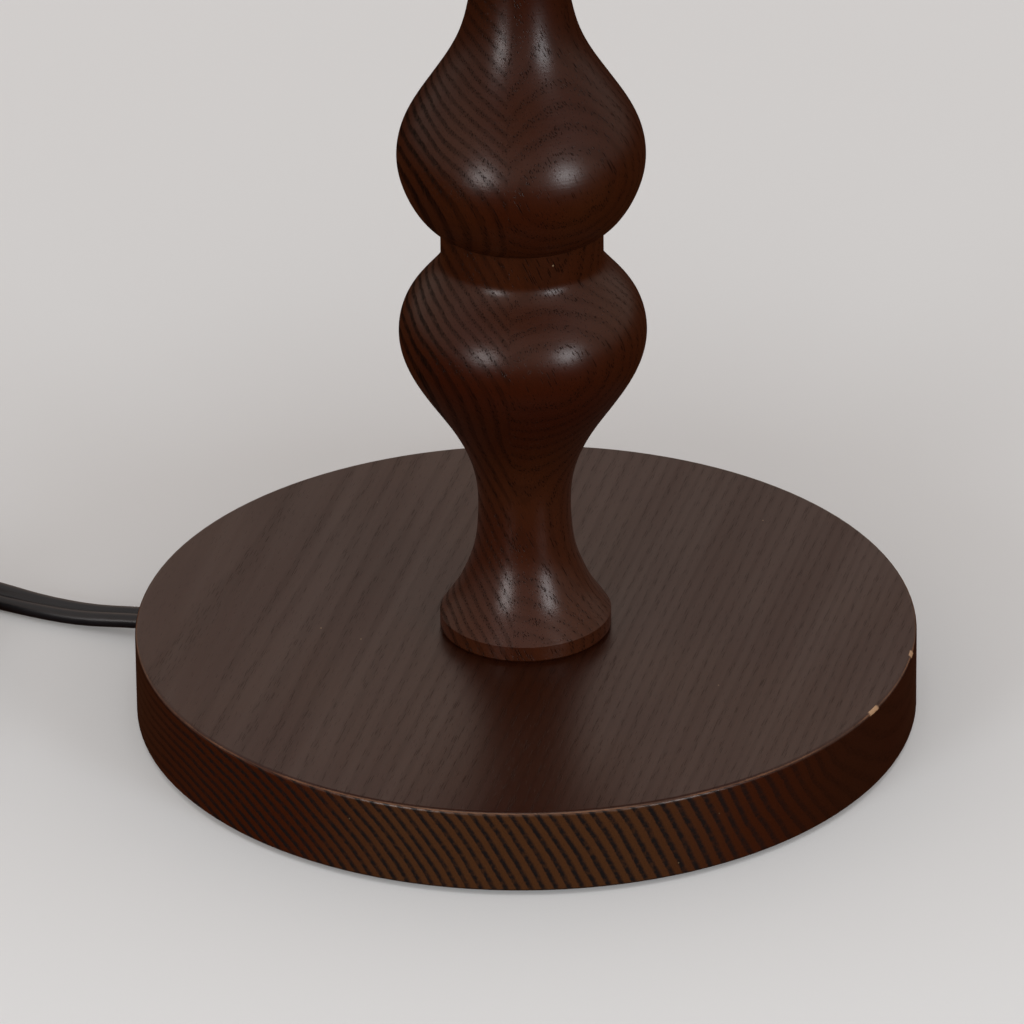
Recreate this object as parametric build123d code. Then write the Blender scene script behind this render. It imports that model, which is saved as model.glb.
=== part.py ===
"""Table lamp: a turned wooden stem on a round wooden base, with a harp and an empire shade.

Millimetres. The lamp stands on the plane z = 0 with its axis on +Z, and its cord leaves the
back of the base along +Y. The harp lies in the XZ plane and the switch knob points to -Y.
Every helper puts its solid where it belongs, so each part is exported in place.
"""
from build123d import *
import math
import os

# ---------------------------------------------------------------- driving dimensions
BASE_R = 90.0                # round wooden base
BASE_THICK = 20.0
FELT_THICK = 1.0
FELT_INSET = 3.0
STEM_FOOT_R = 19.7           # the stem's round foot, and its head, which mirrors it
FOOT_BAND = 4.2              # straight band around the foot
COLLAR_R = 18.5              # plain collar between the two bulges
PIPE_R = 5.0                 # M10 lamp pipe
PIPE_BORE_R = 4.0
HOLE_GAP = 0.3               # pipe to wood
THREAD_GAP = 0.05            # threads, drawn plain
CORD_WIDE = 7.0              # flat twin cord
CORD_THICK = 3.5
CORD_EXIT_Z = 4.6            # height of the cord where it leaves the base
CORD_TUBE_R = 2.6            # round tube with the flat cord's section area
SHADE_BOTTOM_R = 140.0       # liner's outer radius
SHADE_TOP_R = 85.0
SHADE_BOTTOM_Z = 252.0
SHADE_HEIGHT = 180.0
LINER_THICK = 0.6
FABRIC_THICK = 0.7
TRIM_THICK = 0.6
TRIM_HIGH = 8.0
TOP_RING_WIRE_R = 1.5
BOTTOM_RING_WIRE_R = 1.25
RING_INSET = 2.2                         # ring wire to the shade's edge
HARP_WIRE_R = 2.2
HARP_LEG_X = 27.0
BULB_R = 30.0                # A19 envelope
BULB_BASE_R = 13.0           # E26 screw base
SLEEVE_LONG = 20.0

# ---------------------------------------------------------------- levels, from the table up
BASE_TOP = FELT_THICK + BASE_THICK
PIECE_JOINT_Z = BASE_TOP + 103.0         # where the upper stem piece sits on the collar
STEM_TOP = BASE_TOP + 194.0
CAP_TOP = STEM_TOP + 4.0                 # brass cap on the stem's head
SADDLE_THICK = 1.5
SOCKET_FOOT_Z = CAP_TOP + SADDLE_THICK
PIPE_TOP = SOCKET_FOOT_Z + 7.5
COUNTERBORE_R = 16.0
COUNTERBORE_TOP = FELT_THICK + 12.0
WASHER_THICK = 1.2
NUT_THICK = 4.5
PIPE_BOTTOM = COUNTERBORE_TOP - WASHER_THICK - NUT_THICK - 0.5
CHANNEL_WIDE = 9.4
CHANNEL_TOP = 9.0
PLATE_R = 60.0
PLATE_TOP = 5.5
PLATE_THICK = 4.2
SCREW_CIRCLE_R = 45.0
SCREW_ANGLES = (150.0, 270.0, 30.0)
BUSHING_LONG = 11.0
CORD_EXIT_Y = BASE_R + 1.0
SHELL_R = 16.8                           # lamp socket
SHELL_BOTTOM = SOCKET_FOOT_Z + 17.0
SHELL_TOP = SHELL_BOTTOM + 43.0
SWITCH_Z = SHELL_BOTTOM + 12.5
BULB_BOTTOM = SHELL_BOTTOM + 23.0
STUB_BOTTOM = SOCKET_FOOT_Z + 7.0        # round ends of the harp's saddle
HARP_BOTTOM = STUB_BOTTOM + 8.0
HARP_TOP = SOCKET_FOOT_Z + 193.0         # centre of the harp's wire at its top
BOSS_TOP = HARP_TOP + 4.4
SPIDER_GAP = 0.1
WASHER_BOTTOM = BOSS_TOP + SPIDER_GAP
STUD_R = 3.1
STUD_LONG = 15.0
SHADE_TOP_Z = SHADE_BOTTOM_Z + SHADE_HEIGHT

# ---------------------------------------------------------------- the free cord, from the base to its plug
COIL_CENTRE = (-43.5, 176.0)
COIL_IN_R = 28.0
COIL_OUT_R = 46.8
COIL_BOTTOM = 0.6
COIL_TOP = 14.9
LEAD_ROUTE = [
    (0.0, 91.0, 4.6),
    (-0.3, 100.0, 3.8),
    (-1.0, 110.5, 2.9),
    (-0.8, 122.0, 2.65),
    (0.6, 134.0, 2.7),
    (1.7, 147.0, 2.9),
    (1.2, 160.0, 3.3),
]
TAIL_ROUTE = [
    (-62.2, 219.0, 6.6),
    (-77.5, 211.0, 4.2),
    (-91.2, 199.0, 2.7),
    (-100.2, 187.0, 3.6),
    (-103.5, 176.0, 6.9),
]
PLUG_X = -103.5
PLUG_NECK_Y = 176.0
PLUG_Z = 7.5


# ---------------------------------------------------------------- helpers
def bar(radius, low, high, x=0.0, y=0.0):
    """Upright cylinder between two levels."""
    return Pos(x, y, low) * Cylinder(radius, high - low, align=(Align.CENTER, Align.CENTER, Align.MIN))


def tube(outer, inner, low, high, x=0.0, y=0.0):
    """Upright tube between two levels."""
    return bar(outer, low, high, x, y) - bar(inner, low - 1, high + 1, x, y)


def rod_y(radius, start, end, x=0.0, z=0.0):
    """Cylinder along Y between two places on it."""
    middle = (start + end) / 2
    return Pos(x, middle, z) * Rot(90, 0, 0) * Cylinder(radius, abs(end - start))


def block(x_range, y_range, z_range):
    """Box between two corners."""
    size = [high - low for low, high in (x_range, y_range, z_range)]
    centre = [(high + low) / 2 for low, high in (x_range, y_range, z_range)]
    return Pos(*centre) * Box(*size)


def turned(*lines):
    """Solid of revolution about the lamp's axis, from lines that close an outline of (radius, height)."""
    return revolve(Plane.XZ * make_face(lines), Axis.Z)


def turned_outline(points):
    """Solid of revolution whose outline has straight sides."""
    return turned(Polyline(*points, close=True))


def drilled(solid, radius=PIPE_R + HOLE_GAP):
    """The solid with a hole for the lamp pipe down its middle."""
    box = solid.bounding_box()
    return solid - bar(radius, box.min.Z - 1, box.max.Z + 1)


def liner_r(z):
    """Outer radius of the shade's liner at a level."""
    share = (z - SHADE_BOTTOM_Z) / SHADE_HEIGHT
    return SHADE_BOTTOM_R + share * (SHADE_TOP_R - SHADE_BOTTOM_R)


def ring_line_r(z):
    """Radius of a frame ring's wire line, just inside the liner."""
    return liner_r(z) - LINER_THICK - 1.7


def cone_band(inner_gap, outer_gap, low, high):
    """Part of the shade's wall: a conical band, measured in radius from the liner's outside."""
    return turned_outline([
        (liner_r(low) + inner_gap, low),
        (liner_r(low) + outer_gap, low),
        (liner_r(high) + outer_gap, high),
        (liner_r(high) + inner_gap, high),
    ])


def corner_radii(route):
    """Arc radius at each inner point of a cord's route: as large as its two runs allow."""
    points = [Vector(*point) for point in route]
    radii = []
    for before, here, after in zip(points, points[1:], points[2:]):
        arriving = here - before
        leaving = after - here
        half_turn = math.radians(arriving.get_angle(leaving)) / 2
        radii.append(0.45 * min(arriving.length, leaving.length) / math.tan(half_turn))
    return radii


def cord_tube(name, route):
    """Round tube along straight runs joined by tangent arcs."""
    radii = corner_radii(route)
    path = FilletPolyline(*route, radius=radii)
    start = Vector(*route[0])
    section = Plane(origin=start, z_dir=Vector(*route[1]) - start) * Circle(CORD_TUBE_R)
    solid = sweep(section, path=path)
    expected = math.pi * CORD_TUBE_R ** 2 * path.length
    print(name, "length", round(path.length, 1), "radii", [round(radius) for radius in radii],
          "volume ratio", round(solid.volume / expected, 4))
    return solid


# ---------------------------------------------------------------- base
def base_disc():
    disc = bar(BASE_R, FELT_THICK, BASE_TOP)
    rims = disc.edges().filter_by(GeomType.CIRCLE).sort_by(Axis.Z)
    disc = chamfer(rims[0], 0.5)
    disc = fillet(disc.edges().filter_by(GeomType.CIRCLE).sort_by(Axis.Z)[-1], 1.0)
    disc -= bar(PIPE_R + HOLE_GAP, 0, BASE_TOP + 1)
    disc -= bar(COUNTERBORE_R, 0, COUNTERBORE_TOP)
    disc -= bar(PLATE_R + 0.5, 0, PLATE_TOP)
    disc -= block((-CHANNEL_WIDE / 2, CHANNEL_WIDE / 2), (0, BASE_R + 1), (0, CHANNEL_TOP))
    for angle in SCREW_ANGLES:
        x = SCREW_CIRCLE_R * math.cos(math.radians(angle))
        y = SCREW_CIRCLE_R * math.sin(math.radians(angle))
        disc -= bar(1.3, 0, 15.5, x, y)
    return disc


def weight_plate():
    low = PLATE_TOP - PLATE_THICK
    plate = tube(PLATE_R, COUNTERBORE_R + 1, low, PLATE_TOP)
    plate -= block((-CHANNEL_WIDE / 2 - 1, CHANNEL_WIDE / 2 + 1), (0, PLATE_R + 1), (0, PLATE_TOP + 1))
    for angle in SCREW_ANGLES:
        place = Rot(0, 0, angle) * Pos(SCREW_CIRCLE_R, 0, low)
        plate -= place * Cylinder(1.6, 3 * PLATE_THICK)
        plate -= place * Pos(0, 0, 1.1) * Cone(3.9, 1.6, 2.2)
    return plate


def weight_screws():
    """Three countersunk wood screws that hold the plate."""
    low = PLATE_TOP - PLATE_THICK + 0.1
    screws = []
    for angle in SCREW_ANGLES:
        place = Rot(0, 0, angle) * Pos(SCREW_CIRCLE_R, 0, low)
        head = place * Pos(0, 0, 1.0) * Cone(3.5, 1.25, 2.0)
        shank = place * Pos(0, 0, 6.5) * Cylinder(1.25, 13.0)
        slot = place * Box(1.0, 8.0, 1.0)
        screws.append(head + shank - slot)
    return Compound(children=screws)


def base_nut():
    high = COUNTERBORE_TOP - WASHER_THICK
    nut = Pos(0, 0, high - NUT_THICK) * extrude(RegularPolygon(8.5, 6, major_radius=False), NUT_THICK)
    return drilled(nut, PIPE_R + THREAD_GAP)


# ---------------------------------------------------------------- stem
def stem_lower():
    """Foot with a flared cove, round lower bulge and the collar above it."""
    foot_low = BASE_TOP
    band_top = foot_low + FOOT_BAND
    edge = 0.8
    outline = Spline(
        (STEM_FOOT_R, band_top),
        (17.7, foot_low + 7.2),
        (15.6, foot_low + 10.5),
        (13.7, foot_low + 14.6),
        (11.85, foot_low + 19.8),
        (10.8, foot_low + 27.0),
        (11.3, foot_low + 39.4),
        (16.45, foot_low + 52.0),
        (24.0, foot_low + 63.6),
        (28.15, foot_low + 74.3),
        (26.6, foot_low + 83.2),
        (22.2, foot_low + 89.3),
        (19.55, foot_low + 92.6),
        (18.7, foot_low + 94.3),
        (COLLAR_R, foot_low + 96.0),
    )
    body = turned(
        Line((0, foot_low), (STEM_FOOT_R - edge, foot_low)),
        Line((STEM_FOOT_R - edge, foot_low), (STEM_FOOT_R, foot_low + edge)),
        Line((STEM_FOOT_R, foot_low + edge), (STEM_FOOT_R, band_top)),
        outline,
        Line((COLLAR_R, foot_low + 96.0), (COLLAR_R, PIECE_JOINT_Z)),
        Line((COLLAR_R, PIECE_JOINT_Z), (0, PIECE_JOINT_Z)),
        Line((0, PIECE_JOINT_Z), (0, foot_low)),
    )
    return drilled(body)


def stem_upper():
    """Round upper bulge, slim neck and a head that mirrors the foot."""
    edge = 0.8
    band_low = STEM_TOP - FOOT_BAND
    outline = Spline(
        (COLLAR_R, PIECE_JOINT_Z),
        (20.6, BASE_TOP + 104.2),
        (23.4, BASE_TOP + 107.0),
        (26.3, BASE_TOP + 112.0),
        (28.1, BASE_TOP + 118.5),
        (27.15, BASE_TOP + 126.5),
        (23.3, BASE_TOP + 134.0),
        (18.4, BASE_TOP + 141.5),
        (13.9, BASE_TOP + 150.0),
        (11.6, BASE_TOP + 158.5),
        (10.8, STEM_TOP - 27.0),
        (11.85, STEM_TOP - 19.8),
        (13.7, STEM_TOP - 14.6),
        (15.6, STEM_TOP - 10.5),
        (17.7, STEM_TOP - 7.2),
        (STEM_FOOT_R, band_low),
    )
    body = turned(
        Line((0, PIECE_JOINT_Z), (COLLAR_R, PIECE_JOINT_Z)),
        outline,
        Line((STEM_FOOT_R, band_low), (STEM_FOOT_R, STEM_TOP - edge)),
        Line((STEM_FOOT_R, STEM_TOP - edge), (STEM_FOOT_R - edge, STEM_TOP)),
        Line((STEM_FOOT_R - edge, STEM_TOP), (0, STEM_TOP)),
        Line((0, STEM_TOP), (0, PIECE_JOINT_Z)),
    )
    return drilled(body)


def vase_cap():
    """Brass cap: a flat skirt with a coved neck."""
    skirt = 1.2
    cap = turned(
        Line((0, STEM_TOP), (16.0, STEM_TOP)),
        Line((16.0, STEM_TOP), (16.0, STEM_TOP + skirt)),
        ThreePointArc((16.0, STEM_TOP + skirt), (11.5, STEM_TOP + 2.2), (8.5, CAP_TOP)),
        Line((8.5, CAP_TOP), (0, CAP_TOP)),
        Line((0, CAP_TOP), (0, STEM_TOP)),
    )
    return drilled(cap)


# ---------------------------------------------------------------- harp and its saddle
def harp_saddle():
    """Strip under the socket, with two upright arms that end in round prongs."""
    wide = 6.0
    arm_low = CAP_TOP
    reach = HARP_LEG_X + SADDLE_THICK / 2
    saddle = block((-reach, reach), (-wide, wide), (CAP_TOP, SOCKET_FOOT_Z))
    for side in (-1, 1):
        leg_x = side * HARP_LEG_X
        saddle += block((leg_x - SADDLE_THICK / 2, leg_x + SADDLE_THICK / 2), (-wide, wide),
                        (arm_low, STUB_BOTTOM))
        saddle += bar(HARP_WIRE_R, STUB_BOTTOM, HARP_BOTTOM, leg_x)
        saddle += bar(1.4, HARP_BOTTOM, HARP_BOTTOM + 12, leg_x)
    return drilled(saddle)


def harp():
    """Bowed wire with hollow feet, a boss and a threaded stud on top."""
    straight_top = HARP_BOTTOM + 36
    route = [
        (-HARP_LEG_X, 0, HARP_BOTTOM),
        (-HARP_LEG_X, 0, straight_top),
        (-57.0, 0, straight_top + 34),
        (-60.0, 0, HARP_TOP - 46),
        (-38.0, 0, HARP_TOP),
        (38.0, 0, HARP_TOP),
        (60.0, 0, HARP_TOP - 46),
        (57.0, 0, straight_top + 34),
        (HARP_LEG_X, 0, straight_top),
        (HARP_LEG_X, 0, HARP_BOTTOM),
    ]
    bends = [22, 40, 90, 24, 24, 90, 40, 22]
    path = FilletPolyline(*route, radius=bends)
    section = Plane(origin=route[0], z_dir=(0, 0, 1)) * Circle(HARP_WIRE_R)
    wire = sweep(section, path=path)
    wire += bar(6.0, HARP_TOP - 3.0, BOSS_TOP)
    wire += bar(STUD_R, BOSS_TOP, BOSS_TOP + STUD_LONG)
    for side in (-1, 1):
        wire -= bar(1.45, HARP_BOTTOM - 1, HARP_BOTTOM + 13, side * HARP_LEG_X)
    return wire


def harp_sleeve(side):
    """Brass sleeve that drops over the joint between a harp foot and its prong."""
    low = STUB_BOTTOM + 0.4
    return tube(3.4, HARP_WIRE_R + THREAD_GAP, low, low + SLEEVE_LONG, side * HARP_LEG_X)


def finial():
    """Turned brass knob that screws on the harp's stud."""
    low = WASHER_BOTTOM + 1.5 + SPIDER_GAP
    knob = turned(
        Line((0, low), (7.5, low)),
        Line((7.5, low), (7.5, low + 2.0)),
        ThreePointArc((7.5, low + 2.0), (4.9, low + 4.6), (4.4, low + 8.0)),
        Spline(
            (4.4, low + 8.0),
            (7.4, low + 11.4),
            (8.3, low + 16.0),
            (6.4, low + 21.4),
            (3.4, low + 25.6),
            (0, low + 27.6),
            tangents=[(0.6, 0.8), (-1, 0)],
        ),
        Line((0, low + 27.6), (0, low)),
    )
    return knob - bar(STUD_R + THREAD_GAP, low - 1, BOSS_TOP + STUD_LONG + 1)


# ---------------------------------------------------------------- socket, switch and bulb
def socket_cap():
    """Brass bell with a threaded neck, on the end of the pipe."""
    low = SOCKET_FOOT_Z
    wall = 0.6
    rim = SHELL_R + 0.15 + wall
    neck = 7.2
    cap = turned(
        Line((0, low), (neck, low)),
        Line((neck, low), (neck, low + 5.0)),
        ThreePointArc((neck, low + 5.0), (14.6, low + 9.4), (rim, low + 16.0)),
        Line((rim, low + 16.0), (rim, low + 21.0)),
        Line((rim, low + 21.0), (0, low + 21.0)),
        Line((0, low + 21.0), (0, low)),
    )
    inside = turned(
        Line((0, low + 6.0), (neck - 0.4, low + 6.0)),
        ThreePointArc((neck - 0.4, low + 6.0), (14.0, low + 10.2), (rim - wall, low + 16.0)),
        Line((rim - wall, low + 16.0), (rim - wall, low + 22.0)),
        Line((rim - wall, low + 22.0), (0, low + 22.0)),
        Line((0, low + 22.0), (0, low + 6.0)),
    )
    cap = drilled(cap - inside, PIPE_R + THREAD_GAP)
    return cap - rod_y(1.5, 4, 9, z=low + 2.6)


def socket_shell():
    """Brass sleeve with a rolled bead, a flared rim and a hole for the switch."""
    wall = 0.6
    bead_z = SHELL_TOP - 9
    shell = turned(
        Line((SHELL_R - wall, SHELL_BOTTOM), (SHELL_R, SHELL_BOTTOM)),
        Line((SHELL_R, SHELL_BOTTOM), (SHELL_R, bead_z)),
        ThreePointArc((SHELL_R, bead_z), (SHELL_R + 0.9, bead_z + 1.5), (SHELL_R, bead_z + 3)),
        Line((SHELL_R, bead_z + 3), (SHELL_R, SHELL_TOP - 2)),
        Line((SHELL_R, SHELL_TOP - 2), (SHELL_R + 1.6, SHELL_TOP)),
        Line((SHELL_R + 1.6, SHELL_TOP), (SHELL_R + 1.0, SHELL_TOP)),
        Line((SHELL_R + 1.0, SHELL_TOP), (SHELL_R - wall, SHELL_TOP - 2)),
        Line((SHELL_R - wall, SHELL_TOP - 2), (SHELL_R - wall, SHELL_BOTTOM)),
    )
    return shell - rod_y(3.3, -SHELL_R - 3, -SHELL_R + 4, z=SWITCH_Z)


def socket_sleeve():
    """Cardboard sleeve inside the brass shell."""
    outer = SHELL_R - 0.7
    sleeve = tube(outer, outer - 0.8, SHELL_BOTTOM + 1, SHELL_TOP - 3)
    return sleeve - rod_y(3.6, -outer - 3, -outer + 4, z=SWITCH_Z)


def socket_core():
    """Moulded block that carries the terminals, the switch and the screw shell."""
    low = SHELL_BOTTOM + 2
    core = bar(14.8, low, low + 18)
    for side in (-1, 1):
        core -= block(sorted((side * 11.5, side * 16)), (-16, 16), (low - 1, low + 14))
        core -= Pos(side * 11.5, 0, low + 8) * Rot(0, 90, 0) * Cylinder(1.35, 8)
    core -= rod_y(1.65, -16, -6, z=SWITCH_Z)
    core -= bar(3.0, low + 16, low + 19)
    return core


def screw_shell():
    """Brass shell with rolled threads, drawn as rings just clear of the bulb's base."""
    low = SHELL_BOTTOM + 20
    pitch = 3.6
    inner = BULB_BASE_R + 0.1
    outline = [(inner, low), (14.6, low), (14.6, low + 1)]
    for turn in range(5):
        start = low + 1 + turn * pitch
        outline.append((13.6, start))
        outline.append((14.4, start + pitch / 2))
    outline.append((13.6, low + 1 + 5 * pitch))
    outline.append((inner, low + 1 + 5 * pitch))
    return turned_outline(outline)


def terminal_screws():
    """A brass screw on each side of the core."""
    z = SHELL_BOTTOM + 10
    screws = []
    for side in (-1, 1):
        head = Pos(side * 12.4, 0, z) * Rot(0, 90, 0) * Cylinder(2.6, 1.7)
        shank = Pos(side * 9.8, 0, z) * Rot(0, 90, 0) * Cylinder(1.3, 3.5)
        slot = Pos(side * 13.2, 0, z) * Box(0.9, 6, 0.7)
        screws.append(head + shank - slot)
    return Compound(children=screws)


def socket_leads():
    """The cord's two cores, split and led to the terminals."""
    low = SOCKET_FOOT_Z + 12
    leads = []
    for side in (-1, 1):
        route = [
            (side * 1.75, 0, low),
            (side * 1.75, 0, low + 2.0),
            (side * 6.0, 0, low + 4.4),
            (side * 12.9, 0, low + 6.0),
            (side * 13.2, 0, low + 11.5),
        ]
        path = FilletPolyline(*route, radius=[1.6, 6.0, 2.4])
        section = Plane(origin=route[0], z_dir=(0, 0, 1)) * Circle(1.0)
        leads.append(sweep(section, path=path))
    return Compound(children=leads)


def switch_knob():
    """Fluted knob on the end of the switch shaft."""
    start = -SHELL_R - 15
    knob = rod_y(5.6, start, start - 13, z=SWITCH_Z)
    knob = fillet(knob.faces().sort_by(Axis.Y)[0].edges(), 1.2)
    for step in range(12):
        angle = math.radians(30 * step)
        knob -= rod_y(0.8, start - 2, start - 14, x=5.9 * math.cos(angle), z=SWITCH_Z + 5.9 * math.sin(angle))
    return knob - rod_y(1.6, start + 1, start - 8, z=SWITCH_Z)


def bulb_glass():
    """Frosted A19 envelope, one millimetre thick."""
    neck_z = BULB_BOTTOM + 25

    def envelope(shrink):
        top = BULB_BOTTOM + 110 - shrink
        return turned(
            Line((0, neck_z), (12.6 - shrink, neck_z)),
            Spline(
                (12.6 - shrink, neck_z),
                (14.2 - shrink, neck_z + 9),
                (20.6 - shrink, neck_z + 25),
                (27.6 - shrink, neck_z + 41),
                (BULB_R - shrink, neck_z + 55),
                (26.0 - shrink, neck_z + 70),
                (15.5 - shrink, neck_z + 81.5 - 0.6 * shrink),
                (0, top),
                tangents=[(0.05, 1), (-1, 0)],
            ),
            Line((0, top), (0, neck_z)),
        )

    return envelope(0) - envelope(1.0)


def bulb_base():
    """Aluminium screw base with rounded threads."""
    low = BULB_BOTTOM + 4
    pitch = 3.6
    start = (11.9, low + 2)
    lines = [Line((0, low), (11.4, low)), Line((11.4, low), start)]
    for turn in range(5):
        end = (11.9, low + 2 + (turn + 1) * pitch)
        crest = (BULB_BASE_R, low + 2 + (turn + 0.5) * pitch)
        lines.append(ThreePointArc(start, crest, end))
        start = end
    high = low + 22
    cuff_r = BULB_BASE_R + 0.2
    lines.append(Line(start, (cuff_r, high - 1.4)))
    lines.append(Line((cuff_r, high - 1.4), (cuff_r, high)))
    lines.append(Line((cuff_r, high), (0, high)))
    lines.append(Line((0, high), (0, low)))
    return turned(*lines) - bar(11.0, low - 1, high + 1) - bar(cuff_r - 0.3, high - 1, high + 1)


def bulb_contact():
    """Black insulator under the base, with the centre contact."""
    low = BULB_BOTTOM + 1.0
    cone = turned_outline([(0, low), (4.8, low), (10.9, low + 3), (10.9, low + 5), (0, low + 5)])
    return cone + turned_outline([(0, BULB_BOTTOM), (3.0, BULB_BOTTOM), (4.2, low), (0, low)])


# ---------------------------------------------------------------- shade
def shade_ring_top():
    ring_z = SHADE_TOP_Z - RING_INSET
    return Pos(0, 0, ring_z) * Torus(ring_line_r(ring_z), TOP_RING_WIRE_R)


def shade_spider():
    """Washer on the harp's boss and three arms, which are welded to the top ring."""
    ring_z = SHADE_TOP_Z - RING_INSET
    arm_end = ring_line_r(ring_z)
    spider = tube(12.0, STUD_R + 0.3, WASHER_BOTTOM, WASHER_BOTTOM + 1.5)
    for angle in (90, 210, 330):
        arm = [(8.5, 0, WASHER_BOTTOM + 0.9), (24, 0, WASHER_BOTTOM + 1.4), (arm_end, 0, ring_z)]
        path = FilletPolyline(*arm, radius=30)
        section = Plane(origin=arm[0], z_dir=Vector(*arm[1]) - Vector(*arm[0])) * Circle(1.4)
        spider += Rot(0, 0, angle) * sweep(section, path=path)
    spider -= bar(STUD_R + 0.3, WASHER_BOTTOM - 5, WASHER_BOTTOM + 9)
    return spider - shade_ring_top()


def shade_ring_bottom():
    ring_z = SHADE_BOTTOM_Z + RING_INSET
    return Pos(0, 0, ring_z) * Torus(ring_line_r(ring_z), BOTTOM_RING_WIRE_R)


def shade_trim(low, high):
    """Folded tape over the fabric's edge."""
    return cone_band(FABRIC_THICK, FABRIC_THICK + TRIM_THICK, low, high)


# ---------------------------------------------------------------- cord and plug
def cord_section(plane):
    """Flat twin cord: a rounded bar, wide along the plane's first axis."""
    return plane * RectangleRounded(CORD_WIDE, CORD_THICK, CORD_THICK / 2 - 0.01)


def cord_inner():
    """Cord inside the lamp: along the channel, round the bend and up the pipe."""
    bend = 5.0
    along = extrude(cord_section(Plane(origin=(0, bend, CORD_EXIT_Z), x_dir=(1, 0, 0), z_dir=(0, 1, 0))),
                    CORD_EXIT_Y - bend)
    corner_z = CORD_EXIT_Z + bend
    up = extrude(cord_section(Plane(origin=(0, 0, corner_z), x_dir=(1, 0, 0), z_dir=(0, 0, 1))),
                 SOCKET_FOOT_Z + 12 - corner_z)
    turn = revolve(cord_section(Plane(origin=(0, 0, corner_z), x_dir=(1, 0, 0), z_dir=(0, 0, -1))),
                   Axis((0, bend, corner_z), (1, 0, 0)), 90)
    return along + up + turn


def cord_bushing():
    """Rubber plug that fills the channel's mouth around the cord."""
    start = CORD_EXIT_Y - BUSHING_LONG
    half = CHANNEL_WIDE / 2
    bushing = block((-half, half), (start, CORD_EXIT_Y), (FELT_THICK, CHANNEL_TOP))
    hole = cord_section(Plane(origin=(0, start - 1, CORD_EXIT_Z), x_dir=(1, 0, 0), z_dir=(0, 1, 0)))
    return bushing - extrude(hole, BUSHING_LONG + 2)


def cord_coil():
    x, y = COIL_CENTRE
    ring = tube(COIL_OUT_R, COIL_IN_R, COIL_BOTTOM, COIL_TOP, x, y)
    return fillet(ring.edges().filter_by(GeomType.CIRCLE), 3.0)


def coil_ties():
    """Two flat ties around the coil; the coil rests on them."""
    wall = COIL_BOTTOM
    ties = []
    for angle in (75.0, 250.0):
        outside = block((COIL_IN_R - 0.3 - wall, COIL_OUT_R + 0.1 + wall), (-2.5, 2.5), (0, COIL_TOP + wall))
        inside = block((COIL_IN_R - 0.3, COIL_OUT_R + 0.1), (-3, 3), (COIL_BOTTOM, COIL_TOP))
        ties.append(Pos(*COIL_CENTRE, 0) * Rot(0, 0, angle) * (outside - inside))
    return Compound(children=ties)


def plug_body():
    """Two-blade plug: a tapered strain relief and a waisted body, lying flat."""
    neck_y = PLUG_NECK_Y
    rings = [
        (0, 9.0, 5.6),
        (22, 12.0, 9.0),
        (26, 19.0, 12.4),
        (36, 21.5, 14.4),
        (44, 25.0, 14.8),
    ]
    sections = []
    for along, wide, thick in rings:
        plane = Plane(origin=(PLUG_X, neck_y - along, PLUG_Z), x_dir=(1, 0, 0), z_dir=(0, -1, 0))
        sections.append(plane * RectangleRounded(wide, thick, thick / 2 - 0.3))
    return loft(sections, ruled=True)


def plug_blades():
    """Two brass blades, one wider, each with a hole near its tip."""
    face_y = PLUG_NECK_Y - 44
    blades = []
    for side, wide in ((-1, 6.3), (1, 7.9)):
        x = PLUG_X + side * 6.35
        blade = block((x - 0.75, x + 0.75), (face_y - 17, face_y), (PLUG_Z - wide / 2, PLUG_Z + wide / 2))
        blade -= Pos(x, face_y - 13.5, PLUG_Z) * Rot(0, 90, 0) * Cylinder(1.6, 4)
        blades.append(blade)
    return Compound(children=blades)


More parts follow.
